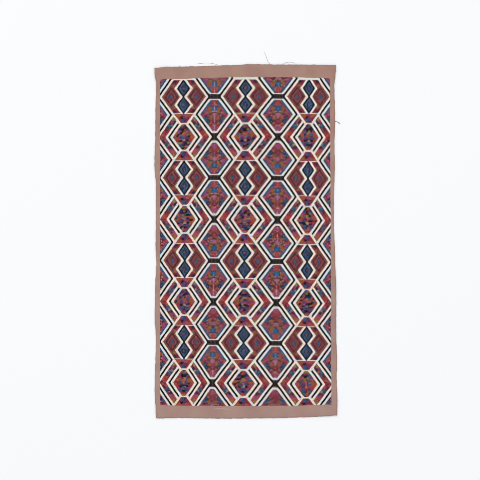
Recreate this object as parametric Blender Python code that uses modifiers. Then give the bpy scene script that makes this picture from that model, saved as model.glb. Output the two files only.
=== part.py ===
"""A cut panel of brocade cloth, laid flat with its patterned face up.

Metres, +Z up. The long way of the cloth runs along Y, and the origin is under the
middle of its box. The panel is one woven piece: a plain ground, left bare as a border
on all four sides, and a field in the middle that the pattern threads make thicker.
Its four edges are raw cuts, so they wander, and its corners and a few places along
the edges lift a little.
"""
from collections import namedtuple

import bmesh
import bpy

MM = 0.001

# Driving sizes of the cloth, between the mean lines of its edges
PANEL_WIDTH = 510 * MM
PANEL_LENGTH = 1001.5 * MM
WIDENING = 4.5 * MM              # how much wider the panel is at its bottom end than at its top
GROUND_THICKNESS = 1.2 * MM
FIELD_THICKNESS = 1.6 * MM

# The plain borders round the patterned field
LEFT_BORDER = 12.8 * MM
RIGHT_BORDER = 12.5 * MM
TOP_BORDER = 33.5 * MM
BOTTOM_BORDER = 34.4 * MM
THINNING = 2.0 * MM              # the width over which the cloth thins from field to border

# How finely the cloth is divided
FIELD_COLUMNS = 20
FIELD_ROWS = 40
SIDE_BORDER_COLUMNS = 2
END_BORDER_ROWS = 3

# Colours and surface
GROUND_COLOUR = (0.37, 0.24, 0.20, 1.0)
FIELD_COLOUR = (0.30, 0.10, 0.14, 1.0)
CLOTH_ROUGHNESS = 0.9

# Where each cut strays from its mean line, outwards positive. The long sides are read
# from the top end down, and the two ends from the left side across.
Stray = namedtuple("Stray", "along out")
LEFT_CUT = [
    Stray(0 * MM, 3.4 * MM), Stray(20 * MM, 2.8 * MM), Stray(55 * MM, -2.0 * MM),
    Stray(125 * MM, 0.3 * MM), Stray(210 * MM, 0.8 * MM), Stray(277 * MM, 3.1 * MM),
    Stray(345 * MM, -0.9 * MM), Stray(420 * MM, -1.0 * MM), Stray(516 * MM, 0.0 * MM),
    Stray(567 * MM, -2.3 * MM), Stray(620 * MM, 0.9 * MM), Stray(720 * MM, 2.0 * MM),
    Stray(772 * MM, -0.9 * MM), Stray(925 * MM, 2.4 * MM), Stray(1001 * MM, -1.3 * MM),
]
RIGHT_CUT = [
    Stray(0 * MM, 3.7 * MM), Stray(20 * MM, 3.4 * MM), Stray(55 * MM, -0.4 * MM),
    Stray(158 * MM, 1.2 * MM), Stray(226 * MM, -0.9 * MM), Stray(277 * MM, -0.1 * MM),
    Stray(396 * MM, -3.5 * MM), Stray(448 * MM, -3.4 * MM), Stray(550 * MM, -0.4 * MM),
    Stray(635 * MM, 2.0 * MM), Stray(772 * MM, 1.9 * MM), Stray(840 * MM, 3.6 * MM),
    Stray(891 * MM, 2.2 * MM), Stray(942 * MM, 4.0 * MM), Stray(1001 * MM, 2.4 * MM),
]
TOP_CUT = [
    Stray(0 * MM, -8.0 * MM), Stray(30 * MM, -4.6 * MM), Stray(110 * MM, -2.8 * MM),
    Stray(216 * MM, 0.3 * MM), Stray(267 * MM, 3.0 * MM), Stray(370 * MM, 2.2 * MM),
    Stray(440 * MM, 2.0 * MM), Stray(510 * MM, 0.5 * MM),
]
BOTTOM_CUT = [
    Stray(0 * MM, 0.9 * MM), Stray(63 * MM, 0.3 * MM), Stray(200 * MM, 1.9 * MM),
    Stray(336 * MM, 0.9 * MM), Stray(421 * MM, -1.7 * MM), Stray(472 * MM, -4.3 * MM),
    Stray(510 * MM, -7.1 * MM),
]

# Where the cloth stands clear of the surface it lies on: the middle of each soft lift,
# how far the lift reaches, and its height
Lift = namedtuple("Lift", "x y reach height")
LIFTS = [
    Lift(-258 * MM, 497 * MM, 85 * MM, 3.2 * MM),
    Lift(257 * MM, 503 * MM, 65 * MM, 2.2 * MM),
    Lift(261 * MM, -496 * MM, 95 * MM, 3.0 * MM),
    Lift(-256 * MM, -503 * MM, 60 * MM, 1.8 * MM),
    Lift(30 * MM, 506 * MM, 75 * MM, 1.6 * MM),
    Lift(-259 * MM, 225 * MM, 70 * MM, 1.4 * MM),
    Lift(259 * MM, -135 * MM, 80 * MM, 1.7 * MM),
    Lift(-257 * MM, -215 * MM, 60 * MM, 1.2 * MM),
]


def clear_scene():
    for old in list(bpy.data.objects):
        bpy.data.objects.remove(old, do_unlink=True)


def mix(low, high, share):
    return low + (high - low) * share


def stray_at(cut, along):
    """How far a cut strays outwards at a distance along it, eased between the rows of its table."""
    if along <= cut[0].along:
        return cut[0].out
    for near, far in zip(cut, cut[1:]):
        if along <= far.along:
            share = (along - near.along) / (far.along - near.along)
            return mix(near.out, far.out, share * share * (3 - 2 * share))
    return cut[-1].out


def lift_at(x, y):
    """Height of the underside over the surface: zero but for the soft lifts."""
    height = 0.0
    for lift in LIFTS:
        distance = ((x - lift.x) ** 2 + (y - lift.y) ** 2) ** 0.5
        if distance < lift.reach:
            height += lift.height * (1 - (distance / lift.reach) ** 2) ** 2
    return height


# One line across the cloth: its place, its share of the stray of the low cut and of the
# high cut, and whether the pattern threads thicken the cloth there
Line = namedtuple("Line", "place low_share high_share in_field")


def grid_lines(half_size, low_border, high_border, border_parts, field_parts):
    """The lines that divide the cloth one way: close at the field's two edges, even between."""
    low_field = low_border - half_size
    high_field = half_size - high_border
    low_side = []
    high_side = []
    for step in range(border_parts + 1):
        share = step / border_parts
        low_side.append(Line(mix(-half_size, low_field - THINNING, share), 1 - share, 0.0, False))
        high_side.append(Line(mix(high_field + THINNING, half_size, share), 0.0, share, False))
    field = []
    for step in range(field_parts + 1):
        field.append(Line(mix(low_field, high_field, step / field_parts), 0.0, 0.0, True))
    return low_side + field + high_side


def cloth_point(column, row):
    """Place of the crossing of two grid lines, on the cloth's underside."""
    across = column.place + PANEL_WIDTH / 2
    from_top = PANEL_LENGTH / 2 - row.place
    widening = WIDENING * (across / PANEL_WIDTH) * (from_top / PANEL_LENGTH - 0.5)
    x = column.place + widening
    x += column.high_share * stray_at(RIGHT_CUT, from_top) - column.low_share * stray_at(LEFT_CUT, from_top)
    y = row.place
    y += row.high_share * stray_at(TOP_CUT, across) - row.low_share * stray_at(BOTTOM_CUT, across)
    return x, y, lift_at(x, y)


def underside_mesh(columns, rows):
    """The open sheet of the underside, with its box centred over the origin, and its field's points."""
    sheet = bmesh.new()
    bmesh.ops.create_grid(sheet, x_segments=len(columns) - 1, y_segments=len(rows) - 1, size=0.5)
    sheet.verts.ensure_lookup_table()
    field_points = []
    for point in sheet.verts:
        column = columns[round((point.co.x + 0.5) * (len(columns) - 1))]
        row = rows[round((point.co.y + 0.5) * (len(rows) - 1))]
        point.co = cloth_point(column, row)
        if column.in_field and row.in_field:
            field_points.append(point.index)
    centre_x = (min(point.co.x for point in sheet.verts) + max(point.co.x for point in sheet.verts)) / 2
    centre_y = (min(point.co.y for point in sheet.verts) + max(point.co.y for point in sheet.verts)) / 2
    bmesh.ops.translate(sheet, verts=sheet.verts, vec=(-centre_x, -centre_y, 0))
    mesh = bpy.data.meshes.new("brocade_panel")
    sheet.to_mesh(mesh)
    sheet.free()
    return mesh, field_points


def cloth_material(name, colour):
    material = bpy.data.materials.new(name)
    material.use_nodes = True
    shader = material.node_tree.nodes["Principled BSDF"]
    shader.inputs["Base Color"].default_value = colour
    shader.inputs["Roughness"].default_value = CLOTH_ROUGHNESS
    shader.inputs["Metallic"].default_value = 0.0
    material.diffuse_color = colour
    return material


def colour_field(mesh, field_points):
    """Give the faces of the patterned field their own colour."""
    in_field = set(field_points)
    for face in mesh.polygons:
        face.material_index = int(all(index in in_field for index in face.vertices))


def thicken(cloth, field_points):
    """Turn the open underside into a closed cloth: thin in the border, thicker in the field."""
    group = cloth.vertex_groups.new(name="pattern threads")
    group.add(field_points, 1.0, "REPLACE")
    shell = cloth.modifiers.new("thickness", "SOLIDIFY")
    shell.thickness = FIELD_THICKNESS
    shell.offset = 1.0
    shell.vertex_group = group.name
    shell.thickness_vertex_group = GROUND_THICKNESS / FIELD_THICKNESS
    shell.use_rim = True


def make_panel(collection):
    columns = grid_lines(PANEL_WIDTH / 2, LEFT_BORDER, RIGHT_BORDER, SIDE_BORDER_COLUMNS, FIELD_COLUMNS)
    rows = grid_lines(PANEL_LENGTH / 2, BOTTOM_BORDER, TOP_BORDER, END_BORDER_ROWS, FIELD_ROWS)
    mesh, field_points = underside_mesh(columns, rows)
    mesh.materials.append(cloth_material("plain ground", GROUND_COLOUR))
    mesh.materials.append(cloth_material("patterned field", FIELD_COLOUR))
    colour_field(mesh, field_points)
    cloth = bpy.data.objects.new("brocade_panel", mesh)
    collection.objects.link(cloth)
    thicken(cloth, field_points)
    return cloth


def main():
    clear_scene()
    collection = bpy.data.collections.new("brocade panel")
    bpy.context.scene.collection.children.link(collection)
    make_panel(collection)


main()
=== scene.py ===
"""Looks of a flat panel of brocade cloth: its woven pattern, raw edges and loose threads."""

from collections import namedtuple
import math
import random

import bpy
import numpy as np
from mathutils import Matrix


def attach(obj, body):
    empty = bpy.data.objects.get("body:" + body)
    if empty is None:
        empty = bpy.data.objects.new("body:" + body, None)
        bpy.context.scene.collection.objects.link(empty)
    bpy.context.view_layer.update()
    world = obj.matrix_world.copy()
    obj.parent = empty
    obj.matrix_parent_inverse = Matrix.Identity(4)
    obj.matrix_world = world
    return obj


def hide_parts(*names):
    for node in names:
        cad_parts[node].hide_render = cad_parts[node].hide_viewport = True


MM = 0.001

# Sizes and forms of the panel, the same as its solid has
PANEL_WIDTH = 510 * MM
PANEL_LENGTH = 1001.5 * MM
WIDENING = 4.5 * MM  # how much wider the panel is at its bottom than at its top
GROUND_THICKNESS = 1.2 * MM
LEFT_BORDER = 12.8 * MM
RIGHT_BORDER = 12.5 * MM

# How far the cuts stray outwards, by the distance along them, in millimetres
LEFT_CUT = {
    0: 3.4, 20: 2.8, 55: -2.0, 125: 0.3, 210: 0.8, 277: 3.1, 345: -0.9, 420: -1.0, 516: 0.0, 567: -2.3,
    620: 0.9, 720: 2.0, 772: -0.9, 925: 2.4, 1001: -1.3,
}
RIGHT_CUT = {
    0: 3.7, 20: 3.4, 55: -0.4, 158: 1.2, 226: -0.9, 277: -0.1, 396: -3.5, 448: -3.4, 550: -0.4,
    635: 2.0, 772: 1.9, 840: 3.6, 891: 2.2, 942: 4.0, 1001: 2.4,
}
TOP_CUT = {0: -8.0, 30: -4.6, 110: -2.8, 216: 0.3, 267: 3.0, 370: 2.2, 440: 2.0, 510: 0.5}
BOTTOM_CUT = {0: 0.9, 63: 0.3, 200: 1.9, 336: 0.9, 421: -1.7, 472: -4.3, 510: -7.1}

# Where the cloth lifts off the surface that it lies on, in millimetres
Lift = namedtuple("Lift", "x y reach height")
LIFTS = [
    Lift(-258, 497, 85, 3.2),
    Lift(257, 503, 65, 2.2),
    Lift(261, -496, 95, 3.0),
    Lift(-256, -503, 60, 1.8),
    Lift(30, 506, 75, 1.6),
    Lift(-259, 225, 70, 1.4),
    Lift(259, -135, 80, 1.7),
    Lift(-257, -215, 60, 1.2),
]

# Soft waves in which the cloth lies, besides its lifts, and the fine wander of its cut edges
Wave = namedtuple("Wave", "height length_across length_down phase")
WAVES = [
    Wave(0.22 * MM, 0.33, 0.21, 0.4),
    Wave(0.16 * MM, 0.14, 0.37, 2.1),
    Wave(0.12 * MM, 0.09, 0.12, 4.4),
    Wave(0.07 * MM, 0.052, 0.071, 1.2),
]
Wander = namedtuple("Wander", "size length")
WANDERS = [Wander(0.55 * MM, 0.0317), Wander(0.5 * MM, 0.0173), Wander(0.5 * MM, 0.0093)]

# The pattern repeats by mirroring, so half a repeat each way holds all of it. Pattern places
# are plain millimetres: across from a column of double diamonds, down from a row of long bars.
HALF_ACROSS = 88.8
HALF_DOWN = 116.9
SLOPE = 1.364  # every slanted line falls this much for its run
HALF_REPEATS_DOWN = 7  # from the first row of long bars to the last row of knots

# Where the rows of long bars and of knots run, alternately, from above the field to below it, in
# millimetres: height at the sides, how far each drops from the left of the field to its right, and
# how far its middle rises
RowPlace = namedtuple("RowPlace", "half_repeat height tilt bow")
ROW_PLACES = [
    RowPlace(-1, 527.2, -1.7, 2.3),
    RowPlace(0, 410.8, -1.1, 2.3),
    RowPlace(1, 295.4, 0.3, 2.8),
    RowPlace(2, 179.8, 3.7, 1.7),
    RowPlace(3, 61.5, 4.4, 1.1),
    RowPlace(4, -55.8, 5.5, 0.3),
    RowPlace(5, -172.7, 6.5, 0.0),
    RowPlace(6, -287.4, 6.3, -0.3),
    RowPlace(7, -402.9, 5.4, 0.0),
    RowPlace(8, -519.4, 5.4, 0.0),
]

# Where the columns of double diamonds (even) and of rhombuses (odd) run from left to right, in
# millimetres, and a few places between them where the cloth is drawn in or let out
FIRST_ROW = 410 * MM  # heights that the three places of a column belong to
MIDDLE_ROW = 3 * MM
LAST_ROW = -404 * MM
ColumnPlace = namedtuple("ColumnPlace", "half_repeat first middle last")
COLUMN_PLACES = [
    ColumnPlace(-1, -261.1, -255.8, -257.4),
    ColumnPlace(0, -175.9, -172.1, -175.0),
    ColumnPlace(1, -87.8, -88.6, -94.2),
    ColumnPlace(1.25, -65.8, -67.6, -73.4),
    ColumnPlace(2, 0.1, -2.2, -6.5),
    ColumnPlace(3, 93.2, 90.9, 84.4),
    ColumnPlace(3.6, 148.1, 142.8, 136.9),
    ColumnPlace(4, 181.1, 175.8, 172.8),
    ColumnPlace(4.5, 219.7, 216.0, 216.6),
    ColumnPlace(5, 263.4, 258.9, 260.4),
]

# How far the field reaches above the first row of bars and below the last row of knots, in the
# pattern's millimetres, at places across in millimetres
FieldEnd = namedtuple("FieldEnd", "x above below")
FIELD_ENDS = [
    FieldEnd(-214, 51.6, 64.9),
    FieldEnd(-180, 50.7, 65.3),
    FieldEnd(-146, 52.2, 65.3),
    FieldEnd(-112, 53.3, 64.6),
    FieldEnd(-44, 54.1, 65.2),
    FieldEnd(-10, 53.8, 65.2),
    FieldEnd(24, 53.9, 63.7),
    FieldEnd(58, 54.6, 63.0),
    FieldEnd(127, 54.8, 61.9),
    FieldEnd(161, 54.1, 61.3),
    FieldEnd(195, 53.2, 59.7),
    FieldEnd(229, 53.2, 57.4),
]

# The mesh grid: its cells' diagonals run along the pattern's slanted lines
CELLS_ACROSS = 28  # in half a repeat
CELLS_DOWN = 27
FIRST_LINE = -20  # the outer grid lines that lie in the field from end to end
LAST_LINE = 129
ROWS_ABOVE = 13  # grid rows of pattern above the first row of bars
ROWS_BELOW = 15  # and below the last row of knots
LEFT_STRIP_CELLS = 1
RIGHT_STRIP_CELLS = 4
SIDE_BORDER_CELLS = 4
END_BORDER_CELLS = 9
COLUMNS = 2 * SIDE_BORDER_CELLS + LEFT_STRIP_CELLS + RIGHT_STRIP_CELLS + LAST_LINE - FIRST_LINE + 1


def mix(low, high, share):
    return low + (high - low) * share


def eased(cut, along):
    """How far a cut strays outwards at distances along it, eased between the rows of its table."""
    places = np.array(list(cut)) * MM
    outs = np.array(list(cut.values())) * MM
    along = np.clip(along, places[0], places[-1])
    far = np.clip(np.searchsorted(places, along, side="right"), 1, len(cut) - 1)
    share = (along - places[far - 1]) / (places[far] - places[far - 1])
    return mix(outs[far - 1], outs[far], share * share * (3 - 2 * share))


def wander(along, phase):
    waves = [row.size * np.sin(2 * math.pi * along / row.length + phase * row.length / MM) for row in WANDERS]
    return sum(waves) / 2


def left_edge(y):
    return -PANEL_WIDTH / 2 - eased(LEFT_CUT, PANEL_LENGTH / 2 - y) - wander(y, phase=1.3)


def right_edge(y):
    middle = PANEL_WIDTH / 2 - WIDENING * y / PANEL_LENGTH
    return middle + eased(RIGHT_CUT, PANEL_LENGTH / 2 - y) + wander(y, phase=4.1)


def top_edge(x):
    return PANEL_LENGTH / 2 + eased(TOP_CUT, x + PANEL_WIDTH / 2) + wander(x, phase=2.2)


def bottom_edge(x):
    return -PANEL_LENGTH / 2 - eased(BOTTOM_CUT, x + PANEL_WIDTH / 2) - wander(x, phase=5.7)


def column_place(number, y):
    place = COLUMN_PLACES[number]
    places = np.array([place.last, place.middle, place.first]) * MM
    return np.interp(y, [LAST_ROW, MIDDLE_ROW, FIRST_ROW], places)


def pattern_line(line, y):
    """x of a grid line of the pattern at the heights y."""
    half_repeat = line / CELLS_ACROSS
    number = max(n for n in range(len(COLUMN_PLACES) - 1) if COLUMN_PLACES[n].half_repeat <= half_repeat)
    low, high = COLUMN_PLACES[number].half_repeat, COLUMN_PLACES[number + 1].half_repeat
    share = (half_repeat - low) / (high - low)
    return mix(column_place(number, y), column_place(number + 1, y), share)


def grid_line(number, y):
    """x of one of the grid's lines down the cloth, counted from the left edge, at the heights y."""
    left = np.full_like(y, LEFT_BORDER - PANEL_WIDTH / 2)
    right = PANEL_WIDTH / 2 - RIGHT_BORDER - WIDENING * y / PANEL_LENGTH
    if number < SIDE_BORDER_CELLS:
        return mix(left_edge(y), left, number / SIDE_BORDER_CELLS)
    if number >= COLUMNS - SIDE_BORDER_CELLS:
        return mix(right_edge(y), right, (COLUMNS - 1 - number) / SIDE_BORDER_CELLS)
    line = number - SIDE_BORDER_CELLS - LEFT_STRIP_CELLS + FIRST_LINE
    if line < FIRST_LINE:
        return mix(pattern_line(FIRST_LINE, y), left, (FIRST_LINE - line) / LEFT_STRIP_CELLS)
    if line > LAST_LINE:
        return mix(pattern_line(LAST_LINE, y), right, (line - LAST_LINE) / RIGHT_STRIP_CELLS)
    return pattern_line(line, y)


def row_height(half_repeats, x):
    """Heights, at x, of rows of the pattern that are numbered in half repeats."""
    numbers, *columns = zip(*ROW_PLACES)
    height, tilt, bow = (np.interp(half_repeats, numbers, np.array(column) * MM) for column in columns)
    sideways = x / (PANEL_WIDTH - LEFT_BORDER - RIGHT_BORDER)
    return height - tilt * sideways + bow * (1 - 4 * sideways ** 2)


def across_at(x, y):
    """The pattern's millimetres across, at places on the cloth."""
    across = np.full_like(x, COLUMN_PLACES[0].half_repeat)
    for number in range(len(COLUMN_PLACES) - 1):
        low, high = column_place(number, y), column_place(number + 1, y)
        share = (x - low) / (high - low)
        lowest = -np.inf if number == 0 else 0
        highest = np.inf if number == len(COLUMN_PLACES) - 2 else 1
        half_repeats = COLUMN_PLACES[number + 1].half_repeat - COLUMN_PLACES[number].half_repeat
        across += np.clip(share, lowest, highest) * half_repeats
    return across * HALF_ACROSS


def pattern_rows(steps, x):
    """Even steps down the pattern, drawn in or let out at both ends of the field to where it ends at x."""
    places, aboves, belows = zip(*FIELD_ENDS)
    places = np.array(places) * MM
    last = HALF_REPEATS_DOWN * HALF_DOWN
    above = np.interp(x, places, aboves) / -steps[0]
    below = np.interp(x, places, belows) / (steps[-1] - last)
    return np.where(steps < 0, steps * above, np.where(steps > last, last + (steps - last) * below, steps))


def cloth_grid():
    """The grid's crossings: x, y, the pattern's millimetres across and down, and how far inside the field."""
    rows = np.arange(-ROWS_ABOVE, HALF_REPEATS_DOWN * CELLS_DOWN + ROWS_BELOW + 1)
    steps = rows * HALF_DOWN / CELLS_DOWN
    level = row_height(steps / HALF_DOWN, 0)
    above_shares = np.arange(END_BORDER_CELLS, 0, -1) / END_BORDER_CELLS
    x, y, down = [], [], []
    for number in range(COLUMNS):
        line = grid_line(number, level)
        downs = pattern_rows(steps, line)
        heights = row_height(downs / HALF_DOWN, line)
        top = mix(heights[0], top_edge(grid_line(number, heights[:1])), above_shares)
        bottom = mix(heights[-1], bottom_edge(grid_line(number, heights[-1:])), above_shares[::-1])
        y.append(np.concatenate([top, heights, bottom]))
        down.append(np.concatenate([
            downs[0] - (top - heights[0]) / MM,
            downs,
            downs[-1] + (heights[-1] - bottom) / MM,
        ]))
        x.append(grid_line(number, y[-1]))
    x, y, down = np.array(x), np.array(y), np.array(down)
    return x, y, across_at(x, y), down, inside_field(x, y)


def inside_field(x, y):
    """Millimetres inside the field's edge, negative in the border."""
    first_column, last_column = SIDE_BORDER_CELLS, x.shape[0] - 1 - SIDE_BORDER_CELLS
    first_row, last_row = END_BORDER_CELLS, x.shape[1] - 1 - END_BORDER_CELLS
    from_sides = np.minimum(x - x[first_column], x[last_column] - x)
    from_ends = np.minimum(y[:, first_row, None] - y, y - y[:, last_row, None])
    return np.minimum(from_sides, from_ends) / MM


# The lattice, in the pattern's millimetres. Falling lines are numbered by across + down / SLOPE
# and rising lines by across - down / SLOPE.
BLACK_LINE = 6.3  # width of a black line along its row
CREAM_BAND = 7.5  # width of the cream band beside it
UPPER_LINE = 74.7  # the falling line from a bar's end to a hexagon's side
LOWER_LINE = -0.75  # the rising line from there to a knot
CHEVRON_LINE = -41.4  # the black chevron round a mosaic
CHEVRON_INNER_BAND = 8.3
STRIP_START = 0.6  # the upper cream band is this much wider where the strips meet it
BAR_HALF_HEIGHT = 6.8
BAR_CREAM_BOTTOM = 10.2
KNOT_TOP = 106.0
KNOT_CREAM_TOP = 99.9
RULE_TOP = 48.2  # thin cream rule between a hexagon and its trapezoid
RULE_BOTTOM = 49.7
TRAPEZOID_BOTTOM = 75.5
MOSAIC_TOP = 79.7
DIAMOND_MIDDLE = 23.6  # middle of a blue diamond, below the row of bars
ZIGZAG_REACH = 27.4  # half-width of the cream zigzag round a diamond
ZIGZAG_BAND = 7.8  # width of that zigzag along its row
EYE_MIDDLE = 36.4  # middle of a nested diamond, beside the double diamonds

BLACK_HALF = BLACK_LINE / 2
UPPER_OUTER = UPPER_LINE - BLACK_HALF - CREAM_BAND
UPPER_INNER = UPPER_LINE + BLACK_HALF + CREAM_BAND
LOWER_OUTER = LOWER_LINE - BLACK_HALF - CREAM_BAND
LOWER_INNER = LOWER_LINE + BLACK_HALF + CREAM_BAND
CHEVRON_OUTER = CHEVRON_LINE + BLACK_HALF + CREAM_BAND
CHEVRON_INNER = CHEVRON_LINE - BLACK_HALF - CHEVRON_INNER_BAND


def folded(place, half):
    """Distance from the pattern's nearest mirror line, out of places measured along it."""
    return abs((place + half) % (2 * half) - half)


def lattice(across, down):
    """The pattern's regions in half a repeat, as masks that are each laid over the last."""
    falling = across + down / SLOPE
    rising = across - down / SLOPE
    past_upper = falling > UPPER_LINE - BLACK_HALF
    in_rhombus = (rising > LOWER_LINE + BLACK_HALF) * (falling > UPPER_LINE + BLACK_HALF)
    past_cream = (rising > LOWER_INNER) * (falling > UPPER_INNER)
    return {
        "chevron cream": rising < CHEVRON_OUTER,
        "chevron black": (rising < CHEVRON_LINE + BLACK_HALF) * (rising > CHEVRON_LINE - BLACK_HALF),
        "chevron inner cream": rising < CHEVRON_LINE - BLACK_HALF,
        "mosaic": (rising < CHEVRON_INNER) * (down > MOSAIC_TOP),
        "upper cream": (falling < UPPER_LINE - BLACK_HALF + STRIP_START) * (down < MOSAIC_TOP),
        "trapezoid": (falling < UPPER_OUTER) * (down < TRAPEZOID_BOTTOM),
        "rule": (falling < UPPER_OUTER) * (down < RULE_BOTTOM),
        "hexagon": (falling < UPPER_OUTER) * (down < RULE_TOP),
        "lower cream": (rising > LOWER_OUTER) * past_upper,
        "lattice black": (rising > LOWER_LINE - BLACK_HALF) * past_upper,
        "bars": in_rhombus,
        "rhombus cream": in_rhombus * (down > BAR_HALF_HEIGHT) * (down < KNOT_TOP),
        "rhombus": past_cream * (down > BAR_CREAM_BOTTOM) * (down < KNOT_CREAM_TOP),
    }


# How far the threads stand over the plain ground. All regions that aren't named here are cream.
CREAM_RELIEF = 0.60 * MM
BLACK_RELIEF = 0.22 * MM
COLOUR_RELIEF = 0.40 * MM
RELIEF = {
    "mosaic": COLOUR_RELIEF,
    "trapezoid": COLOUR_RELIEF,
    "hexagon": COLOUR_RELIEF,
    "rhombus": COLOUR_RELIEF,
    "chevron black": BLACK_RELIEF,
    "lattice black": BLACK_RELIEF,
    "bars": BLACK_RELIEF,
}


def relief_at(across, down, inside):
    """How far the face stands over the plain ground."""
    across = folded(across, HALF_ACROSS)
    down = folded(down, HALF_DOWN)
    height = np.full_like(across, COLOUR_RELIEF)
    for region, mask in lattice(across, down).items():
        height = np.where(mask, RELIEF.get(region, CREAM_RELIEF), height)
    zigzag = across + abs(down - DIAMOND_MIDDLE) / SLOPE
    in_zigzag = (zigzag < ZIGZAG_REACH) & (zigzag > ZIGZAG_REACH - ZIGZAG_BAND) & (down < RULE_TOP)
    height = np.where(in_zigzag, CREAM_RELIEF, height)
    return np.where(inside >= 0, height, 0.0)


def underside_height(x, y):
    height = np.zeros_like(x)
    for lift in LIFTS:
        away = (x - lift.x * MM) ** 2 + (y - lift.y * MM) ** 2
        near = np.clip(1 - away / (lift.reach * MM) ** 2, 0, None)
        height += lift.height * MM * near ** 2
    for wave in WAVES:
        turn = 2 * math.pi * (x / wave.length_across + y / wave.length_down) + wave.phase
        height += wave.height * (0.5 + 0.5 * np.sin(turn)) ** 2
    return height


# The unwrapped cloth: its face on the left half of the square, its underside on the right
CHART_MARGIN = 0.012
CHART_EDGE = 0.005  # width of the strip that holds the cut edge, round the face


def cloth_faces(columns, rows):
    """Triangles of the face, then quads of the underside, then quads of the cut edge, as grid numbers."""
    number = np.arange(columns * rows).reshape(columns, rows)
    under = number + columns * rows
    a, b, c, d = number[:-1, :-1], number[:-1, 1:], number[1:, 1:], number[1:, :-1]
    line = np.arange(columns - 1)[:, None] - SIDE_BORDER_CELLS - LEFT_STRIP_CELLS + FIRST_LINE
    row = np.arange(rows - 1)[None, :] - END_BORDER_CELLS - ROWS_ABOVE
    falls = (line // CELLS_ACROSS + row // CELLS_DOWN) % 2 == 0
    first = np.where(falls, np.stack([b, c, d]), np.stack([a, b, c]))
    second = np.where(falls, np.stack([b, d, a]), np.stack([a, c, d]))
    top = np.concatenate([first.reshape(3, -1), second.reshape(3, -1)], axis=1).T
    bottom = np.stack([under[:-1, :-1], under[1:, :-1], under[1:, 1:], under[:-1, 1:]]).reshape(4, -1).T
    rim = np.concatenate([number[:-1, 0], number[-1, :-1], number[:0:-1, -1], number[0, :0:-1]])
    after = np.roll(rim, -1)
    edge = np.stack([rim, after, after + columns * rows, rim + columns * rows]).T
    return top, bottom, edge


def chart_places(x, y):
    """Places of the grid's crossings on the unwrapped square, for the face and for the underside."""
    wide = (x - x.min()) / (x.max() - x.min())
    high = (y - y.min()) / (y.max() - y.min())
    v = mix(CHART_MARGIN, 1 - CHART_MARGIN, high)
    face = np.stack([mix(CHART_MARGIN, 0.5 - CHART_MARGIN, wide), v], axis=-1)
    underside = np.stack([mix(1 - CHART_MARGIN, 0.5 + CHART_MARGIN, wide), v], axis=-1)
    return face.reshape(-1, 2), underside.reshape(-1, 2)


def chart_cloth(mesh, x, y, edge_corners):
    face, underside = chart_places(x, y)
    corners = np.empty(len(mesh.loops), dtype=np.int32)
    mesh.loops.foreach_get("vertex_index", corners)
    uv = np.concatenate([face, underside])[corners]
    low = edge_corners & (corners >= len(face))
    outwards = np.sign(face - 0.5 * (face.min(axis=0) + face.max(axis=0)))
    border = np.stack([
        (face[:, 0] <= CHART_MARGIN + CHART_EDGE) | (face[:, 0] >= 0.5 - CHART_MARGIN - CHART_EDGE),
        (face[:, 1] <= CHART_MARGIN + CHART_EDGE) | (face[:, 1] >= 1 - CHART_MARGIN - CHART_EDGE),
    ], axis=-1)
    spread = face + outwards * border * CHART_EDGE
    uv[low] = spread[corners[low] - len(face)]
    mesh.uv_layers.new(name="OFBake").data.foreach_set("uv", uv.astype(np.float32).ravel())


def add_object(name, data):
    thing = bpy.data.objects.new(name, data)
    bpy.context.scene.collection.objects.link(thing)
    return thing


def make_cloth():
    x, y, across, down, inside = cloth_grid()
    low = underside_height(x, y)
    high = low + GROUND_THICKNESS + relief_at(across, down, inside)
    x = x - (x.min() + x.max()) / 2
    y = y - (y.min() + y.max()) / 2
    top, bottom, edge = cloth_faces(*x.shape)
    layers = [np.stack([x, y, height], axis=-1).reshape(-1, 3) for height in (high, low)]
    mesh = bpy.data.meshes.new("brocade_cloth")
    mesh.from_pydata(np.concatenate(layers).tolist(), [], top.tolist() + bottom.tolist() + edge.tolist())
    materials = np.repeat([0, 1, 2], [len(top), len(bottom), len(edge)]).astype(np.int32)
    mesh.polygons.foreach_set("material_index", materials)
    edge_corners = np.repeat(materials == 2, np.repeat([3, 4, 4], [len(top), len(bottom), len(edge)]))
    chart_cloth(mesh, x, y, edge_corners)
    weave = np.stack([across, down, inside], axis=-1).reshape(-1, 3)
    mesh.attributes.new("weave", "FLOAT_VECTOR", "POINT").data.foreach_set(
        "vector", np.concatenate([weave, weave]).astype(np.float32).ravel())
    mesh.shade_smooth()
    mesh.update()
    cloth = add_object("brocade_cloth", mesh)
    rim = np.concatenate([layers[0], layers[1]])[edge]
    return cloth, rim


class Term:
    """A number worked out by a material's nodes, written as plain arithmetic."""

    def __init__(self, tree, socket):
        self.tree = tree
        self.socket = socket

    def op(self, operation, *others, swapped=False):
        node = self.tree.nodes.new("ShaderNodeMath")
        node.operation = operation
        values = (self,) + others
        for slot, value in zip(node.inputs, reversed(values) if swapped else values):
            plug(self.tree, slot, value)
        return Term(self.tree, node.outputs[0])

    def __add__(self, other):
        return self.op("ADD", other)

    def __sub__(self, other):
        return self.op("SUBTRACT", other)

    def __rsub__(self, other):
        return self.op("SUBTRACT", other, swapped=True)

    def __mul__(self, other):
        return self.op("MULTIPLY", other)

    def __truediv__(self, other):
        return self.op("DIVIDE", other)

    def __mod__(self, other):
        return self.op("FLOORED_MODULO", other)

    def __abs__(self):
        return self.op("ABSOLUTE")

    def __lt__(self, other):
        return self.op("LESS_THAN", other)

    def __gt__(self, other):
        return self.op("GREATER_THAN", other)

    __radd__ = __add__
    __rmul__ = __mul__


def plug(tree, slot, value):
    """Feeds a node's input with a term, another node's output, a yarn's name or plain numbers."""
    if isinstance(value, Term):
        value = value.socket
    if isinstance(value, bpy.types.NodeSocket):
        tree.links.new(value, slot)
    else:
        slot.default_value = linear(YARN[value]) if isinstance(value, str) else value


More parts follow.
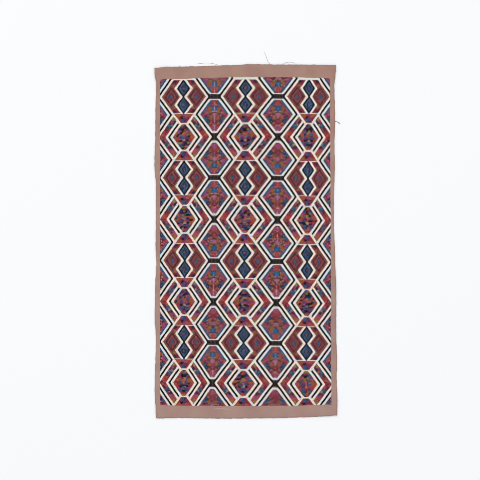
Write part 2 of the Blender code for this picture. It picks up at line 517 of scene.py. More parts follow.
def stepped(value, step):
    """The number of the step that a value lies in."""
    return (value / step).op("FLOOR")


def linear(colour):
    """A colour given as 0 to 255 on a screen, as the light it stands for."""
    parts = [part / 255 for part in colour]
    light = [part / 12.92 if part <= 0.04045 else ((part + 0.055) / 1.055) ** 2.4 for part in parts]
    return (*light, 1.0)


# Yarns, as seen on a screen
YARN = {
    "cream": (222, 211, 202),
    "pink white": (227, 206, 200),
    "grey white": (203, 203, 202),
    "blue white": (211, 214, 217),
    "green white": (212, 215, 205),
    "yellow white": (223, 215, 202),
    "ice": (200, 214, 221),
    "mist": (122, 146, 164),
    "black": (20, 18, 17),
    "moss": (74, 76, 56),
    "soot": (66, 56, 52),
    "navy": (30, 38, 70),
    "steel": (50, 80, 112),
    "slate": (76, 106, 130),
    "blue": (40, 94, 142),
    "crimson": (128, 42, 56),
    "wine": (88, 32, 44),
    "red": (156, 54, 56),
    "coral": (160, 74, 66),
    "rose": (152, 80, 90),
    "magenta": (142, 66, 106),
    "orchid": (154, 90, 126),
    "purple": (84, 56, 100),
    "plum": (56, 32, 44),
    "orange": (148, 80, 50),
    "ochre": (148, 108, 58),
    "olive": (120, 108, 64),
    "umber": (78, 50, 42),
    "tan": (156, 128, 106),
    "brick": (126, 72, 70),
    "rust": (140, 86, 78),
    "mauve": (100, 70, 88),
    "blush": (196, 150, 160),
    "fibre": (150, 128, 118),
    "pale thread": (128, 118, 110),
    "grey thread": (52, 48, 48),
    # not a yarn: the colour of the painted crease highlights on the plain ground
    "crease highlight": (184, 153, 140),
    "rosy taupe": (161, 124, 115),
    "tawny taupe": (178, 147, 131),
    "warm taupe": (165, 129, 115),
    "cool taupe": (168, 139, 132),
}


# What chance decides. Each has a noise of its own, by its number in this list.
CHANCES = [
    "grain", "patch", "stray", "axis", "stitch shade", "ragged across", "ragged down", "grain shade",
    "ground", "ring", "float", "mosaic", "tint",
]

# One stitch in the pattern's millimetres, and larger pieces of one colour, in stitches across and down
STITCHES_ACROSS = 64  # in half a repeat
STITCHES_DOWN = 120
STITCH_ACROSS = HALF_ACROSS / STITCHES_ACROSS
STITCH_DOWN = HALF_DOWN / STITCHES_DOWN
STITCH = (1, 1)
GRAIN = (2, 2)
PATCH = (5, 5)
TINT = (8, 10)


class Painter:
    """Lays yarn colours over each other in a material's nodes."""

    def __init__(self, tree):
        self.tree = tree

    def node(self, kind, inputs, **settings):
        """A new node with its settings, and what is fed into its inputs."""
        node = self.tree.nodes.new("ShaderNode" + kind)
        for name, value in settings.items():
            setattr(node, name, value)
        for slot, value in inputs.items():
            plug(self.tree, node.inputs[slot], value)
        return node

    def separate(self, socket):
        node = self.node("SeparateXYZ", {0: socket})
        return [Term(self.tree, output) for output in node.outputs]

    def combine(self, x, y, z=0.0):
        return self.node("CombineXYZ", {0: x, 1: y, 2: z}).outputs[0]

    def blend(self, under, over, mask, blend_type="MIX"):
        """over where the mask is 1, on what is under it. Each is a yarn's name or a colour socket."""
        inputs = {0: mask, 6: under, 7: over}
        return self.node("Mix", inputs, data_type="RGBA", blend_type=blend_type).outputs[2]

    def shaded(self, colour, shade):
        """A colour with as much of its light as the shade leaves."""
        return self.blend(colour, self.combine(shade, shade, shade), 1.0, "MULTIPLY")

    def bands(self, value, stops, reach=1.0):
        """Colour by a number from 0 to reach. Each stop is the number that it starts at and its yarn."""
        node = self.node("ValToRGB", {0: value / reach})
        node.color_ramp.interpolation = "CONSTANT"
        elements = node.color_ramp.elements
        while len(elements) < len(stops):
            elements.new(1.0)
        for element, (start, yarn) in zip(elements, stops.items()):
            element.position = start / reach
            element.color = linear(YARN[yarn])
        return node.outputs[0]

    def spotted(self, colour, point, spots):
        """A colour with small round motifs on it, each an ellipse of one yarn."""
        for yarn, across, down, half_width, half_height in spots:
            scale = (1 / half_width, 1 / half_height, 0)
            shift = (-across / half_width, -down / half_height, 0)
            place = self.node("VectorMath", {0: point, 1: scale, 2: shift}, operation="MULTIPLY_ADD")
            length = self.node("VectorMath", {0: place.outputs[0]}, operation="LENGTH")
            colour = self.blend(colour, yarn, Term(self.tree, length.outputs["Value"]) < 1.0)
        return colour

    def noise(self, chance, x, y):
        """A number from 0 to 1 for one of the chances, unlike those of all other x and y."""
        place = self.combine(x, y, CHANCES.index(chance) + 0.5)
        node = self.node("TexWhiteNoise", {"Vector": place}, noise_dimensions="3D")
        return Term(self.tree, node.outputs["Value"])

    def patchwork(self, chance, across, down, size):
        """A number from 0 to 1 that is the same all over a piece of so many stitches."""
        step_across, step_down = size[0] * STITCH_ACROSS, size[1] * STITCH_DOWN
        return self.noise(chance, stepped(across, step_across), stepped(down, step_down))


# Round motifs, each as its yarn, how far across and down its middle is, half its width and half its
# height, in the pattern's millimetres

# Inside a rhombus: across from its axis, down from the row of bars
RHOMBUS_SPOTS = [
    ("magenta", 26, 44, 8, 6), ("crimson", 30, 54, 9, 5), ("coral", 35, 55.5, 4.6, 4.4),
    ("rose", 26.6, 51.6, 3.6, 3), ("mauve", 12, 27, 5, 5.4), ("rose", 6.4, 25.4, 3, 2.6),
    ("orange", 15, 38, 5.2, 5.4), ("olive", 11.4, 44.6, 3.8, 2.8), ("orange", 10.8, 63.4, 4.2, 4.6),
    ("umber", 5.8, 46.6, 2.2, 1.8), ("plum", 11.6, 49.6, 2.6, 1.8), ("tan", 20.6, 47.4, 2.4, 1.8),
    ("plum", 24.4, 57.8, 2.2, 2), ("tan", 11.4, 57.6, 2.2, 2.2), ("plum", 10.8, 70, 1.8, 3.2),
    ("tan", 12.6, 78.6, 2.6, 2), ("plum", 7.2, 29.4, 2.2, 2), ("tan", 9.4, 33, 1.8, 3),
    ("plum", 18.8, 42, 2.8, 2), ("crimson", 11, 83, 5.6, 4.4), ("coral", 7.4, 80.6, 2.4, 2.4),
    ("wine", 18.2, 55.2, 5.2, 5.2), ("rose", 18.2, 55.2, 2.8, 2.8), ("blush", 18.2, 55.2, 1.2, 1.5),
    ("navy", 18.4, 72.4, 5.6, 6.6), ("mist", 18.4, 72.4, 1.3, 1.8), ("steel", 25.4, 64.6, 6, 5.4),
    ("red", 0, 17, 6.4, 8.2), ("coral", 0, 18.4, 2.6, 4.2), ("navy", 0, 35.4, 9, 7.6),
    ("blue", 0, 35.4, 7.4, 6.2), ("orchid", 0, 54, 7.4, 5.2), ("wine", 0, 72.2, 8.2, 7.2),
    ("crimson", 0, 72.2, 6.4, 5.6), ("rose", 0, 72.2, 2.6, 2.6), ("magenta", 0, 91.6, 8, 6.2),
]
NET_ACROSS = 8.9  # half the width of the net's meshes over a rhombus
NET_DOWN = 9.3  # and half their height
FIRST_MESH = 17.4  # below the row of bars
NET_REACH = 0.80  # share of the way out to a mesh's edge where its threads begin

# Inside a trapezoid: across from the column of double diamonds, down from the row of bars
TRAPEZOID_SPOTS = [
    ("orange", 17, 54.6, 9, 6.5), ("magenta", 0, 52.4, 7.5, 4.6), ("crimson", 11.4, 64, 4.6, 4.6),
    ("purple", 0, 66.5, 8, 6), ("plum", 6.2, 59.3, 3.6, 2.6), ("navy", 0, 71.5, 6, 2.6),
]
# Its spots that aren't mirrored, across to the right of that column
LONE_SPOTS = [
    ("black", -6, 60.2, 4.6, 3.2), ("rose", 7, 56.6, 3.6, 4.4), ("red", 17.6, 58, 5, 3.4),
    ("steel", -3.4, 71, 5.2, 3.8),
]

# Inside a mosaic: across from the column of double diamonds, down from the row of knots
MOSAIC_SPOTS = [
    ("orange", 22, -6.4, 9.4, 7.6), ("coral", 28, -1, 6, 5), ("orange", 24, 4, 7.6, 5),
    ("red", 18.8, 9, 6, 5), ("magenta", 13.6, -17, 5, 4.6), ("purple", 12.6, -21.6, 4.6, 3.6),
    ("navy", 10.4, -25.6, 5.2, 3.6), ("wine", 0, -17, 6, 2.8), ("black", 0.8, -20.6, 7.4, 4.4),
    ("olive", 0, -35.4, 7.4, 2.8), ("brick", 0, -30.6, 8, 2.4), ("crimson", 2, -27.6, 6, 1.8),
    ("ochre", 0, -11.2, 7.2, 4.2), ("coral", 0, -6, 5.6, 2.8), ("mauve", 10.4, -9, 4.2, 5),
    ("purple", 9, 2, 5.4, 4), ("rose", 0, 1, 3.6, 3), ("black", 9.8, 10, 5, 3),
    ("tan", 0.4, 9.4, 3.6, 3.2), ("navy", 0.8, 16.4, 6, 3.2), ("magenta", 13, 16.4, 4.4, 3.6),
    ("purple", 7.6, 18.4, 7.6, 4.4), ("steel", 9, 23, 3.6, 2.4), ("black", 0, 23.4, 4.8, 2.8),
    ("red", 0, 29.8, 6.4, 2.8), ("ochre", 0, 35, 6.4, 2.8),
]

# At the corners of the hexagon of double diamonds
HEXAGON_SPOTS = [
    ("crimson", 19.5, 39, 9, 6), ("crimson", 35, 37, 6.4, 6), ("orange", 29, 31.6, 5.4, 4),
    ("olive", 25.6, 30, 4.6, 2.8), ("ochre", 39, 25.6, 5.4, 3.2), ("wine", 28, 38.4, 3.6, 2.6),
    ("navy", 26.4, 43.4, 6, 3.2),
]

# Rings and patches, each as the number that it starts at and its yarn
DIAMOND_RINGS = {
    0: "rust", 2.4: "brick", 4.4: "navy", 7.8: "steel", 10.4: "slate", 11.8: "steel", 13.6: "navy",
}
DIAMOND_REACH = 14.6  # out to its black outline
DIAMOND_BROKEN = 0.3  # share of its stitches that are of another yarn
DIAMOND_MIX = {0: "navy", 0.18: "slate", 0.26: "blue"}
EYE_RINGS = {
    0: "blue", 2.6: "steel", 5: "purple", 6.4: "rose", 7.4: "plum", 9: "crimson", 10.4: "brick",
    12: "coral", 13.6: "brick", 15.2: "plum", 16.6: "wine", 17.6: "plum", 19.8: "crimson",
    21.2: "brick",
}
EYE_CORE = 5.0  # no other yarns within this
EYE_BROKEN = 0.13  # share of the rings' stitches that are of another yarn
EYE_MIX = {0: "olive", 0.03: "umber", 0.06: "crimson", 0.09: "plum", 0.11: "orange"}
# Patches of the chevron strips above and below the knots, along the falling lines' numbers
STRIP_END = 165.0  # past the last of those numbers
STRIP_MIDDLE = (CHEVRON_OUTER + LOWER_OUTER) / 2
ABOVE_LEAN = 0.25  # how far the patches' ends lean down towards the strip's outer side
BELOW_LEAN = 0.4
ABOVE_INNER = {
    0: "wine", 76: "crimson", 81: "navy", 86.5: "plum", 92.5: "tan", 97.5: "steel", 111: "brick",
    116: "crimson", 126: "red", 138: "coral", 144: "crimson",
}
ABOVE_OUTER = {
    0: "olive", 78.5: "tan", 81.5: "brick", 85: "magenta", 91: "crimson", 96.5: "plum", 99.5: "slate",
    104: "steel", 111: "plum", 115: "crimson", 119: "plum", 124: "mauve", 128: "red", 136: "coral",
    148: "brick", 154: "red",
}
BELOW_INNER = {
    0: "crimson", 76: "coral", 84: "rose", 89: "magenta", 98: "crimson", 101: "navy", 106: "umber",
    112: "tan", 117.5: "slate", 120.5: "steel", 126: "mauve", 130: "rose", 137: "red", 144: "crimson",
    150: "wine",
}
BELOW_OUTER = {
    0: "olive", 75: "ochre", 81: "orange", 87: "coral", 94.5: "magenta", 104: "plum", 106.5: "crimson",
    112: "slate", 116: "navy", 119.5: "steel", 125: "mauve", 129: "plum", 133: "crimson", 137: "navy",
    140: "wine", 143: "brick", 150: "crimson",
}

# Yarns mixed stitch by stitch, each as the share that it starts at
CREAM_MIX = {
    0: "cream", 0.32: "pink white", 0.52: "blue white", 0.7: "green white", 0.86: "yellow white",
}
BAR_MIX = {0: "soot", 0.35: "moss", 0.6: "umber", 0.8: "mauve"}
BAR_TICK = 4.2  # from one upright tick of a bar to the next
BAR_TICK_SHARE = 0.5
RHOMBUS_MIX = {
    0: "brick", 0.14: "rose", 0.28: "umber", 0.36: "tan", 0.46: "crimson", 0.57: "orange",
    0.66: "ochre", 0.75: "purple", 0.83: "mauve", 0.89: "blush", 0.95: "plum",
}
NET_MIX = {0: "umber", 0.2: "tan", 0.34: "orange", 0.46: "plum", 0.64: "blush", 0.74: "crimson"}
TRAPEZOID_MIX = {0: "red", 0.35: "crimson", 0.6: "orange", 0.82: "brick", 0.92: "magenta"}
MOSAIC_MIX = {
    0: "crimson", 0.16: "magenta", 0.28: "purple", 0.42: "umber", 0.54: "steel", 0.66: "plum",
    0.78: "orange", 0.88: "tan", 0.94: "slate",
}
HEXAGON_MIX = {
    0: "crimson", 0.28: "brick", 0.44: "red", 0.56: "umber", 0.7: "orange", 0.8: "olive", 0.88: "plum",
    0.94: "tan",
}
STRAY_MIX = {
    0: "black", 0.06: "navy", 0.12: "steel", 0.18: "crimson", 0.22: "orange", 0.26: "magenta",
    0.29: "olive",
}
STRIP_MIX = {0: "wine", 0.24: "plum", 0.44: "navy", 0.6: "tan", 0.74: "orange", 0.86: "rose"}
STRIP_STRAYS = 0.1  # share of a strip's patches that are of another yarn
REVERSE_MIX = {
    0: "mauve", 0.24: "umber", 0.4: "wine", 0.54: "steel", 0.64: "tan", 0.76: "purple", 0.88: "brick",
}
REVERSE_SHOW = 0.3  # share of the stitches that hide the lattice on the underside
STRAYS = 0.32  # share of a mosaic's patches that are of another yarn
PATCH_LEAN = 0.5  # how far these patches lean aside on their way down

# The cream band round a rhombus is greyer, and its inner part bluish above the middle
RHOMBUS_GREY = 0.6
ICE_FROM = 0.55  # share of the band's width where the bluish part starts
ICE_START = UPPER_LINE + BLACK_HALF + ICE_FROM * CREAM_BAND
RHOMBUS_EDGE = 5.4  # width of the blue edge along the rhombus's upper sides

# How far the motifs' outlines stray, stitch by stitch
RAGGED_ACROSS = 2.6
RAGGED_DOWN = 2.2
EYE_RAGGED = 0.35  # share of this for the fine rings of the nested diamonds
RHOMBUS_RAGGED = 0.45  # and for the small motifs in a rhombus
AXIS_HALF = 0.45  # half-width of the pale dotted line down a rhombus
AXIS_GAPS = 0.45  # share of its stitches that are missing

# Share of its full colour that a yarn has at least, and how far its stitches and its grains rise from there
SHADE_LEAST = 0.60
STITCH_SHADE = 0.16
GRAIN_SHADE = 0.54
CREAM_SHADE = 0.5  # share of this unevenness in the cream bands

# A stitch's middle, its ragged place in half a repeat, and from the row of knots, and its chances
Stitch = namedtuple("Stitch", "across down x y below_knots grain patch shade")


def stitch_at(painter, across, down):
    """The stitch that a place lies in: its middle, and the chances that choose its yarn."""
    middle = (
        (stepped(across, STITCH_ACROSS) + 0.5) * STITCH_ACROSS,
        (stepped(down, STITCH_DOWN) + 0.5) * STITCH_DOWN,
    )
    x = folded(middle[0], HALF_ACROSS)
    below_knots = middle[1] % (2 * HALF_DOWN) - HALF_DOWN
    ragged_across = (painter.patchwork("ragged across", *middle, GRAIN) - 0.5) * RAGGED_ACROSS
    ragged_down = (painter.patchwork("ragged down", *middle, GRAIN) - 0.5) * RAGGED_DOWN
    stitch_shade = painter.noise("stitch shade", *middle) * STITCH_SHADE
    grain_shade = painter.patchwork("grain shade", *middle, GRAIN) * GRAIN_SHADE
    return Stitch(
        across=middle[0],
        down=middle[1],
        x=x + ragged_across,
        y=folded(middle[1], HALF_DOWN) + ragged_down,
        below_knots=below_knots + ragged_down,
        grain=painter.patchwork("grain", x, below_knots, GRAIN),
        patch=painter.patchwork("patch", across, down, PATCH),
        shade=stitch_shade + grain_shade + SHADE_LEAST,
    )


def mixed(painter, stitch, mix_table):
    return painter.bands(stitch.grain, mix_table)


def calmer(stitch, ragged):
    """The stitch's place in half a repeat with only a share of its raggedness."""
    x = folded(stitch.across, HALF_ACROSS) * (1 - ragged) + stitch.x * ragged
    y = folded(stitch.down, HALF_DOWN) * (1 - ragged) + stitch.y * ragged
    return x, y


def rhombus_colour(painter, stitch):
    x, y = calmer(stitch, RHOMBUS_RAGGED)
    from_axis = HALF_ACROSS - x
    sideways = from_axis / NET_ACROSS
    downwards = (y - FIRST_MESH) / NET_DOWN
    out = folded(sideways + downwards, 1.0).op("MAXIMUM", folded(sideways - downwards, 1.0))
    net = mixed(painter, stitch, NET_MIX)
    colour = painter.blend(mixed(painter, stitch, RHOMBUS_MIX), net, out > NET_REACH)
    colour = painter.spotted(colour, painter.combine(from_axis, y), RHOMBUS_SPOTS)
    return painter.blend(colour, "steel", x + y / SLOPE < UPPER_INNER + RHOMBUS_EDGE)


def hexagon_colour(painter, stitch):
    point = painter.combine(stitch.x, stitch.y)
    colour = painter.spotted(mixed(painter, stitch, HEXAGON_MIX), point, HEXAGON_SPOTS)
    x, y = calmer(stitch, EYE_RAGGED)
    eye = abs(x - EYE_MIDDLE) + y / SLOPE
    eye_reach = UPPER_OUTER - EYE_MIDDLE
    rings = painter.bands(eye, EYE_RINGS, eye_reach)
    broken = painter.patchwork("ring", stitch.across, stitch.down, GRAIN)
    is_broken = (broken < EYE_BROKEN) * (eye > EYE_CORE)
    rings = painter.blend(rings, painter.bands(broken, EYE_MIX, EYE_BROKEN), is_broken)
    return painter.blend(colour, rings, eye < eye_reach)


def diamond_colour(painter, stitch):
    out = stitch.x + abs(stitch.y - DIAMOND_MIDDLE) / SLOPE
    rings = painter.bands(out, DIAMOND_RINGS, 2 * DIAMOND_REACH)
    broken = painter.patchwork("float", stitch.across, stitch.down, GRAIN)
    return painter.blend(rings, painter.bands(broken, DIAMOND_MIX), broken < DIAMOND_BROKEN)


def strip_patches(painter, along, out, inner, outer):
    """A strip's patches, from one table in its inner half and from another in its outer half."""
    return painter.blend(
        painter.bands(along, inner, STRIP_END), painter.bands(along, outer, STRIP_END), out > 0.0)


def strip_colour(painter, stitch):
    falling = stitch.x + stitch.y / SLOPE
    out = stitch.x - stitch.y / SLOPE - STRIP_MIDDLE
    above = strip_patches(painter, falling - out * ABOVE_LEAN, out, ABOVE_INNER, ABOVE_OUTER)
    below = strip_patches(painter, falling - out * BELOW_LEAN, out, BELOW_INNER, BELOW_OUTER)
    colour = painter.blend(above, below, stitch.below_knots > 0.0)
    return painter.blend(colour, mixed(painter, stitch, STRIP_MIX), stitch.patch < STRIP_STRAYS)


def mosaic_colour(painter, stitch):
    place = (stitch.across + stitch.down * PATCH_LEAN, stitch.down, PATCH)
    ground = painter.bands(painter.patchwork("mosaic", *place), MOSAIC_MIX)
    colour = painter.spotted(ground, painter.combine(stitch.x, stitch.below_knots), MOSAIC_SPOTS)
    stray = painter.patchwork("stray", *place)
    return painter.blend(colour, painter.bands(stray, STRAY_MIX), stray < STRAYS)


def trapezoid_colour(painter, stitch):
    point = painter.combine(stitch.x, stitch.y)
    colour = painter.spotted(mixed(painter, stitch, TRAPEZOID_MIX), point, TRAPEZOID_SPOTS)
    aside = (stitch.across + HALF_ACROSS) % (2 * HALF_ACROSS) - HALF_ACROSS
    return painter.spotted(colour, painter.combine(aside, stitch.y), LONE_SPOTS)


def double_diamonds(painter, stitch, x, y, colour, cream):
    """The cream zigzag round the double diamonds of a hexagon, its black outline and the diamonds."""
    out = x + abs(y - DIAMOND_MIDDLE) / SLOPE
    colour = painter.blend(colour, cream, (out < ZIGZAG_REACH) * (y < RULE_TOP))
    colour = painter.blend(colour, "black", out < ZIGZAG_REACH - ZIGZAG_BAND)
    diamond = painter.shaded(diamond_colour(painter, stitch), stitch.shade)
    return painter.blend(colour, diamond, out < DIAMOND_REACH)


def pattern_colour(painter, across, down):
    """The pattern's colour at a place."""
    stitch = stitch_at(painter, across, down)
    x = folded(stitch.across, HALF_ACROSS)
    y = folded(stitch.down, HALF_DOWN)
    falling = x + y / SLOPE
    tint = painter.bands(painter.patchwork("tint", across, down, TINT), CREAM_MIX)
    cream = painter.shaded(tint, stitch.shade * CREAM_SHADE + (1 - CREAM_SHADE))
    grey_cream = painter.blend(cream, "grey white", RHOMBUS_GREY)
    is_tick = stitch.across % BAR_TICK < BAR_TICK * BAR_TICK_SHARE
    # All regions that aren't named here are cream
    looks = {
        "chevron black": "black",
        "mosaic": painter.shaded(mosaic_colour(painter, stitch), stitch.shade),
        "trapezoid": painter.shaded(trapezoid_colour(painter, stitch), stitch.shade),
        "hexagon": painter.shaded(hexagon_colour(painter, stitch), stitch.shade),
        "lattice black": "black",
        "bars": painter.blend("black", mixed(painter, stitch, BAR_MIX), is_tick),
        "rhombus cream": painter.blend(grey_cream, "ice", (falling < UPPER_INNER) * (falling > ICE_START)),
        "rhombus": painter.shaded(rhombus_colour(painter, stitch), stitch.shade),
    }
    colour = painter.shaded(strip_colour(painter, stitch), stitch.shade)
    for region, mask in lattice(x, y).items():
        colour = painter.blend(colour, looks.get(region, cream), mask)
        if region == "hexagon":
            colour = double_diamonds(painter, stitch, x, y, colour, cream)
    # The first hexagons end in a cream band at the top of the field
    colour = painter.blend(colour, "green white", (down < -RULE_TOP) * (falling < UPPER_OUTER))
    # A pale dotted line runs down each rhombus
    on_axis = HALF_ACROSS - folded(across, HALF_ACROSS) < AXIS_HALF
    dots = painter.noise("axis", 0.0, stepped(down, GRAIN[1] * STITCH_DOWN)) > AXIS_GAPS
    return painter.blend(colour, "blush", on_axis * (dots * (y > BAR_CREAM_BOTTOM)) * (y < KNOT_CREAM_TOP))


# The plain ground's own unevenness, and its threads' ridges
GROUND_LEAST = 0.95
GROUND_STITCH = 0.06
CLOUD_LENGTH = 60.0  # of the ground's soft changes from rosy to tawny
CLOUD_DETAIL = 3.0
CLOUD_LOW = 0.35  # where noise up to this is rosy,
CLOUD_RISE = 3.0  # and turns tawny as fast as this
CLOUD_SHARE = 0.5  # share that they have in its colour
RIDGE_HEIGHT = 0.25 * MM
REVERSE_FLOAT = 9.0  # length of the loose floats of yarn behind the pattern
YARN_GLOSS = 0.2

# Painted highlights: pale streaks painted on the plain ground where low creases would catch the light
CREASE_HIGHLIGHTS = [("crease highlight", 112, 891, 17, 1.1), ("crease highlight", 134, 893.2, 9, 0.9)]


def border_colour(painter, across, down):
    downwards = (down / (HALF_REPEATS_DOWN * HALF_DOWN)).op("MINIMUM", 1.0)
    taupe = painter.blend("warm taupe", "cool taupe", downwards)
    place = painter.combine(across / CLOUD_LENGTH, down / CLOUD_LENGTH)
    cloud = painter.node("TexNoise", {"Vector": place, "Scale": 1.0, "Detail": CLOUD_DETAIL})
    share = ((Term(painter.tree, cloud.outputs[0]) - CLOUD_LOW) * CLOUD_RISE).op("MINIMUM", 1.0)
    taupe = painter.blend(taupe, painter.blend("rosy taupe", "tawny taupe", share), CLOUD_SHARE)
    # painted highlights of low creases, as pale streaks on the ground
    taupe = painter.spotted(taupe, painter.combine(across, down), CREASE_HIGHLIGHTS)
    stitch = painter.patchwork("ground", across, down, STITCH)
    return painter.shaded(taupe, stitch * GROUND_STITCH + GROUND_LEAST)


def reverse_colour(painter, across, down):
    """Behind the pattern the lattice shows faintly through floats of the yarns that the face doesn't use."""
    floats = painter.noise("float", stepped(across, REVERSE_FLOAT), stepped(down, STITCH_DOWN))
    colour = painter.bands(floats, REVERSE_MIX)
    masks = lattice(folded(across, HALF_ACROSS), folded(down, HALF_DOWN))
    dark_line = (masks["lower cream"] - masks["rhombus"]) + masks["upper cream"] - masks["trapezoid"]
    return painter.blend(colour, "plum", dark_line * (floats > REVERSE_SHOW))


def new_material(name, roughness):
    material = bpy.data.materials.new(name)
    material.use_nodes = True
    shader = material.node_tree.nodes["Principled BSDF"]
    shader.inputs["Roughness"].default_value = roughness
    shader.inputs["Specular IOR Level"].default_value = YARN_GLOSS
    return material, material.node_tree, shader


def yarn_material(name, yarn, roughness):
    material, tree, shader = new_material(name, roughness)
    shader.inputs["Base Color"].default_value = linear(YARN[yarn])
    return material


def cloth_material(name, field_colour, roughness):
    """One side of the cloth: its field, its plain border, and low ridges of the threads that run across."""
    material, tree, shader = new_material(name, roughness)
    painter = Painter(tree)
    weave = painter.node("Attribute", {}, attribute_name="weave")
    across, down, inside = painter.separate(weave.outputs["Vector"])
    border = border_colour(painter, across, down)
    colour = painter.blend(border, field_colour(painter, across, down), inside > 0.0)
    plug(tree, shader.inputs["Base Color"], colour)
    ridges = folded(down, STITCH_DOWN / 2) / STITCH_DOWN
    bump = painter.node("Bump", {"Distance": RIDGE_HEIGHT, "Height": ridges})
    plug(tree, shader.inputs["Normal"], bump.outputs["Normal"])
    return material


def cloth_materials():
    """The materials of the face, the underside and the cut edge."""
    return [
        cloth_material("brocade face", pattern_colour, roughness=0.85),
        cloth_material("brocade reverse", reverse_colour, roughness=0.9),
        yarn_material("cut edge", "cool taupe", roughness=0.9),
    ]


# Short fibres that stand out of the cut edges
FIBRE_EVERY = 2.1 * MM
FIBRE_GAPS = (0.6, 1.4)  # shares of this from one fibre to the next
FIBRE_ROOTS = (0.2, 0.8)  # shares of the way down the cut edge where fibres start
FIBRE_LENGTHS = (1.4 * MM, 5.2 * MM)
FIBRE_THICKNESS = 0.26 * MM
FIBRE_TAPER = (1.0, 0.9, 0.7, 0.35)
FIBRE_SIDES = 3
FIBRE_TURN = 0.9  # radians that a fibre may turn aside
FIBRE_BEND = 0.7  # and bend on its way
FIBRE_FALL = 0.4  # share of its height that it loses at each step
FIBRE_SEED = 11

# Loose threads that lie on the surface beside the cloth, each along a few places of its path, in
# millimetres
Thread = namedtuple("Thread", "yarn thickness path")
THREADS = [
    Thread("pale thread", 0.55, [(-138, 504.6), (-121, 506.6), (-105, 506.9), (-89, 504.4), (-73, 498.6)]),
    Thread("pale thread", 0.60, [(53, 537.0), (56.5, 528.2), (60, 518.8), (63.5, 510.8), (70, 501.0)]),
    Thread("pale thread", 0.60, [(102, 500.6), (113, 507.6), (122.5, 509.4), (135, 508.2), (148, 500.6)]),
    Thread("grey thread", 1.20, [(248, 342.4), (255, 341.1), (260, 339.6), (264, 337.6), (266.6, 334.9)]),
]
THREAD_STEPS = 6  # pieces of a thread from one place of its path to the next
THREAD_SIDES = 5


def tube(points, radii, sides):
    """Corners and faces of a round thread along a path that lies about level."""
    points = np.array(points)
    ahead = np.gradient(points, axis=0)
    ahead /= np.linalg.norm(ahead, axis=1)[:, None]
    sideways = np.cross(ahead, (0.0, 0.0, 1.0))
    sideways /= np.linalg.norm(sideways, axis=1)[:, None]
    upwards = np.cross(sideways, ahead)
    turns = 2 * math.pi * np.arange(sides) / sides
    rings = [
        point + radius * (math.cos(turn) * side + math.sin(turn) * up)
        for point, radius, side, up in zip(points, radii, sideways, upwards) for turn in turns
    ]
    faces = [
        (ring * sides + side, ring * sides + (side + 1) % sides,
         (ring + 1) * sides + (side + 1) % sides, (ring + 1) * sides + side)
        for ring in range(len(points) - 1) for side in range(sides)
    ]
    faces += [tuple(range(sides))[::-1], tuple(range(len(rings) - sides, len(rings)))]
    return rings, faces


def add_threads(name, tubes, materials, numbers):
    """One object out of many tubes, each with the number of its material."""
    corners, faces, face_numbers = [], [], []
    for (rings, sides), number in zip(tubes, numbers):
        faces += [tuple(corner + len(corners) for corner in face) for face in sides]
        face_numbers += [number] * len(sides)
        corners += rings
    mesh = bpy.data.meshes.new(name)
    mesh.from_pydata([tuple(corner) for corner in corners], [], faces)
    for material in materials:
        mesh.materials.append(material)
    mesh.polygons.foreach_set("material_index", face_numbers)
    mesh.shade_smooth()
    threads = add_object(name, mesh)
    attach(threads, "root")
    return threads


def fibre(chance, start, outwards):
    """One fibre, which bends aside and falls on its way outwards."""
    reach = mix(*FIBRE_LENGTHS, chance.random() ** 2)
    heading = math.atan2(outwards[1], outwards[0]) + chance.uniform(-FIBRE_TURN, FIBRE_TURN)
    bend = chance.uniform(-FIBRE_BEND, FIBRE_BEND)
    steps = len(FIBRE_TAPER) - 1
    path = [start]
    for _ in range(steps):
        heading += bend / 2
        fall = (FIBRE_THICKNESS - path[-1][2]) * FIBRE_FALL
        step = [math.cos(heading) * reach / steps, math.sin(heading) * reach / steps, fall]
        path.append(path[-1] + np.array(step))
    return tube(path, [FIBRE_THICKNESS / 2 * share for share in FIBRE_TAPER], FIBRE_SIDES)


def make_fibres(rim):
    """Fibres along the rim, which comes as quads with their upper two corners first."""
    chance = random.Random(FIBRE_SEED)
    tubes = []
    spare = 0.0
    for upper, after, _, low in rim:
        run = after - upper
        length = np.linalg.norm(run)
        outwards = np.array([run[1], -run[0], 0.0]) / length
        outwards *= np.sign(outwards @ upper) or 1.0
        spare += length
        while spare > FIBRE_EVERY:
            spare -= FIBRE_EVERY * chance.uniform(*FIBRE_GAPS)
            root = mix(mix(upper, after, chance.random()), low, chance.uniform(*FIBRE_ROOTS))
            tubes.append(fibre(chance, root - outwards * FIBRE_THICKNESS, outwards))
    material = yarn_material("fibre", "fibre", roughness=0.9)
    return add_threads("edge_fuzz", tubes, [material], [0] * len(tubes))


def smooth_path(places, steps):
    """A curve through places, as steady as a thread lies."""
    places = np.array(places)
    ahead = np.gradient(places, axis=0)
    curve = []
    for number in range(len(places) - 1):
        for share in np.arange(steps) / steps:
            near, far = 1 - share, share
            curve.append(
                places[number] * (1 + 2 * far) * near ** 2 + ahead[number] * far * near ** 2
                + places[number + 1] * (3 - 2 * far) * far ** 2 - ahead[number + 1] * far ** 2 * near)
    return curve + [places[-1]]


def make_loose_threads():
    yarns = sorted({thread.yarn for thread in THREADS})
    tubes = []
    for thread in THREADS:
        height = thread.thickness * MM / 2
        path = [(x * MM, y * MM, height) for x, y in smooth_path(thread.path, THREAD_STEPS)]
        tubes.append(tube(path, [height] * len(path), THREAD_SIDES))
    materials = [yarn_material(yarn, yarn, roughness=0.8) for yarn in yarns]
    return add_threads("loose_threads", tubes, materials, [yarns.index(thread.yarn) for thread in THREADS])


# Camera
PIXELS_PER_METRE = 351.9  # of the photograph, on the cloth
FRAME_PIXELS = 480
MIDDLE_RIGHT = 5.87  # pixels from the frame's middle to the cloth's
MIDDLE_DOWN = 1.42
PIXEL_FILTER = 0.6  # pixels, as sharp as the photograph
LENS = 135.0
SENSOR = 36.0
SIGHT = 3  # how far the camera sees, in its own heights


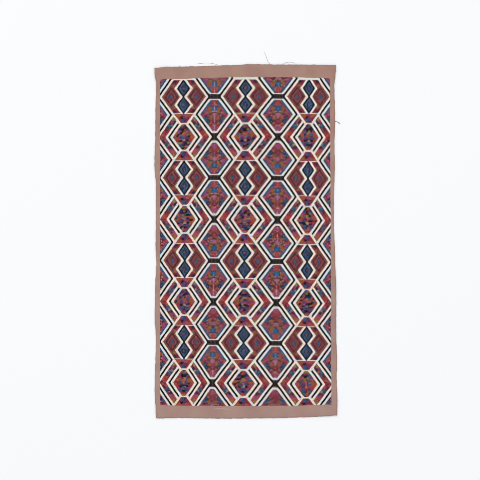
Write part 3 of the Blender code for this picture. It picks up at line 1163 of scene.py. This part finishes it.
def make_camera():
    data = bpy.data.cameras.new("camera")
    data.lens = LENS
    data.sensor_width = SENSOR
    height = FRAME_PIXELS / PIXELS_PER_METRE * LENS / SENSOR + GROUND_THICKNESS
    data.clip_end = SIGHT * height
    camera = add_object("camera", data)
    camera.location = (-MIDDLE_RIGHT / PIXELS_PER_METRE, MIDDLE_DOWN / PIXELS_PER_METRE, height)
    bpy.context.scene.camera = camera


# Floor and light
FLOOR_SIZE = 14.0
FLOOR_GAP = 0.3 * MM
FLOOR_COLOUR = (0.935, 0.952, 0.970, 1.0)
SKY_STRENGTH = 0.635
Lamp = namedtuple("Lamp", "name x y z size power")
LAMPS = [
    Lamp("key", -5.2, 6.0, 10.0, 6.0, 568.0),
    Lamp("fill", 6.0, -3.2, 10.0, 7.0, 228.0),
]


def make_floor():
    bpy.ops.mesh.primitive_plane_add(size=FLOOR_SIZE, location=(0, 0, -FLOOR_GAP))
    floor = bpy.context.object
    floor.name = "floor"
    material, tree, shader = new_material("pale floor", 1.0)
    shader.inputs["Base Color"].default_value = FLOOR_COLOUR
    shader.inputs["Specular IOR Level"].default_value = 0.0
    floor.data.materials.append(material)


def make_light():
    world = bpy.data.worlds.new("soft studio")
    world.use_nodes = True
    background = world.node_tree.nodes["Background"]
    background.inputs["Color"].default_value = (1.0, 1.0, 1.0, 1.0)
    background.inputs["Strength"].default_value = SKY_STRENGTH
    bpy.context.scene.world = world
    for lamp in LAMPS:
        data = bpy.data.lights.new(lamp.name, "AREA")
        data.size = lamp.size
        data.energy = lamp.power
        light = add_object(lamp.name, data)
        light.location = (lamp.x, lamp.y, lamp.z)
        light.rotation_euler = (-light.location).to_track_quat("-Z", "Y").to_euler()


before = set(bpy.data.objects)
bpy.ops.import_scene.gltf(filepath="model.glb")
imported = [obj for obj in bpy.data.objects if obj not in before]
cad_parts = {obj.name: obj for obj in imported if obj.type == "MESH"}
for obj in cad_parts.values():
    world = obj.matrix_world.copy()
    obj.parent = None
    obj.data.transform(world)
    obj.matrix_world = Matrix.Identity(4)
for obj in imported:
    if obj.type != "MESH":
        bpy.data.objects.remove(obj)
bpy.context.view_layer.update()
bpy.context.scene.view_settings.view_transform = "Standard"
bpy.context.scene.cycles.filter_width = PIXEL_FILTER
make_camera()
make_light()
make_floor()
cloth, rim = make_cloth()
for material in cloth_materials():
    cloth.data.materials.append(material)
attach(cloth, "root")
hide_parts("brocade_panel")
make_fibres(rim)
make_loose_threads()
